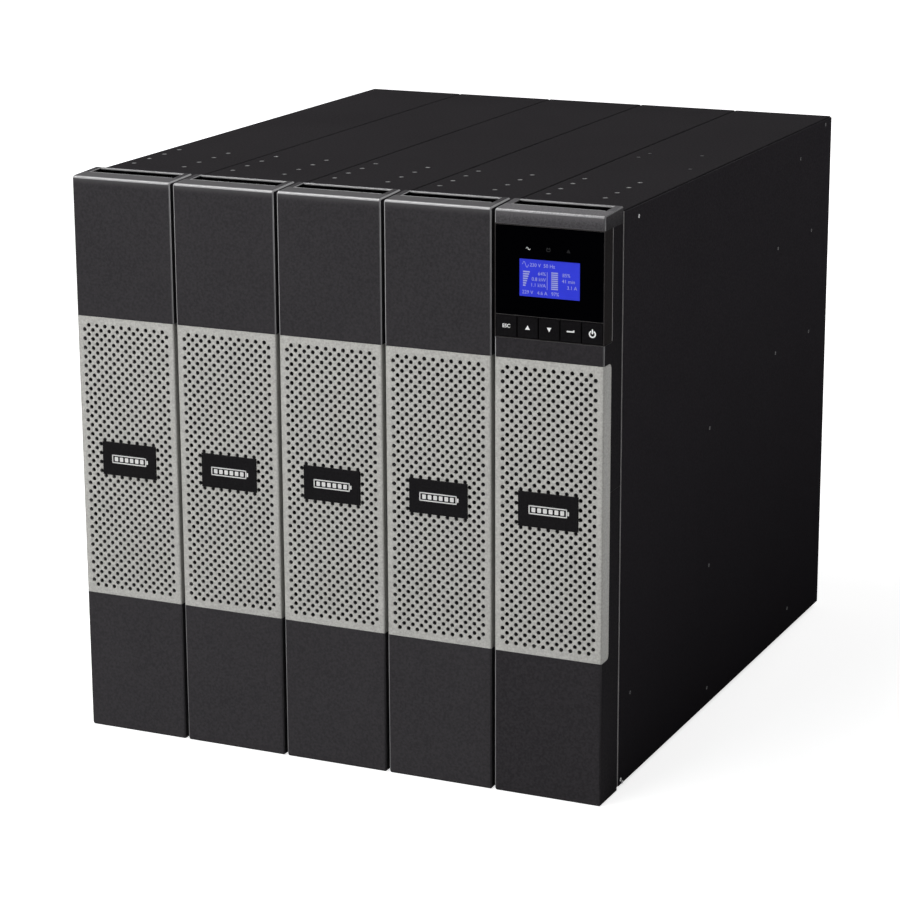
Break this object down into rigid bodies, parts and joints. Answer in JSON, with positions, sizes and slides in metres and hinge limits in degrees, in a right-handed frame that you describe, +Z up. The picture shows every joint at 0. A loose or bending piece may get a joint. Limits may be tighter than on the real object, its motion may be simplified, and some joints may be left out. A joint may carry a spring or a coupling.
{
  "type": "uninterruptible power supply with battery modules",
  "caption": "Uninterruptible power supply with matching battery modules, slim black steel cases stood side by side with silver perforated fronts.",
  "frame": {"origin": "centre of the footprint, on the floor under the modules", "axes": "+X runs along the row towards the power unit, +Y from the front to the rear, +Z up"},
  "size_m": [0.4342, 0.5268, 0.441],
  "materials": {
    "case_top": "fine powder coat",
    "side_cover": "fine powder coat",
    "bezel": "fine grained moulding",
    "grille": "silver paint on perforated sheet",
    "badge": "satin",
    "rear_fitting": "moulded",
    "pad": "matt",
    "display_body": "fine grained moulding",
    "window": "gloss",
    "screen": "backlit dot matrix",
    "key": "satin",
    "port_block": "plated",
    "steel_plate": "plated"
  },
  "bodies": {
    "system": {"battery_case_1": "case_top", "battery_bezel_1": "bezel", "battery_grille_1": "grille", "battery_badge_1": "badge", "battery_connectors_1": "rear_fitting", "battery_foot_1": "pad", "battery_case_2": "case_top", "battery_bezel_2": "bezel", "battery_grille_2": "grille", "battery_badge_2": "badge", "battery_connectors_2": "rear_fitting", "battery_foot_2": "pad", "battery_case_3": "case_top", "battery_bezel_3": "bezel", "battery_grille_3": "grille", "battery_badge_3": "badge", "battery_connectors_3": "rear_fitting", "battery_foot_3": "pad", "battery_case_4": "case_top", "battery_bezel_4": "bezel", "battery_grille_4": "grille", "battery_badge_4": "badge", "battery_connectors_4": "rear_fitting", "battery_foot_4": "pad", "ups_case": "case_top", "ups_side_cover": "side_cover", "ups_bezel": "bezel", "display_housing": "display_body", "display_window": "window", "lcd_screen": "screen", "ups_grille": "grille", "ups_badge": "badge", "outlet_bank_small": "rear_fitting", "outlet_bank_large": "rear_fitting", "power_inlet": "rear_fitting", "battery_socket": "rear_fitting", "data_ports": "port_block", "card_slot_cover": "steel_plate", "fan_guard_lower": "steel_plate", "fan_guard_upper": "steel_plate", "ups_foot": "pad"},
    "key_escape_body": {"key_escape": "key"},
    "key_up_body": {"key_up": "key"},
    "key_down_body": {"key_down": "key"},
    "key_enter_body": {"key_enter": "key"},
    "key_power_body": {"key_power": "key"}
  },
  "joints": [
    {"name": "key_escape_press", "type": "slide", "parent": "system", "child": "key_escape_body", "axis": [0, 1, 0], "range_m": [0, 0.0008], "stiffness_N_per_m": 150, "springref_m": -0.004},
    {"name": "key_up_press", "type": "slide", "parent": "system", "child": "key_up_body", "axis": [0, 1, 0], "range_m": [0, 0.0008], "stiffness_N_per_m": 150, "springref_m": -0.004},
    {"name": "key_down_press", "type": "slide", "parent": "system", "child": "key_down_body", "axis": [0, 1, 0], "range_m": [0, 0.0008], "stiffness_N_per_m": 150, "springref_m": -0.004},
    {"name": "key_enter_press", "type": "slide", "parent": "system", "child": "key_enter_body", "axis": [0, 1, 0], "range_m": [0, 0.0008], "stiffness_N_per_m": 150, "springref_m": -0.004},
    {"name": "key_power_press", "type": "slide", "parent": "system", "child": "key_power_body", "axis": [0, 1, 0], "range_m": [0, 0.0008], "stiffness_N_per_m": 150, "springref_m": -0.004}
  ]
}
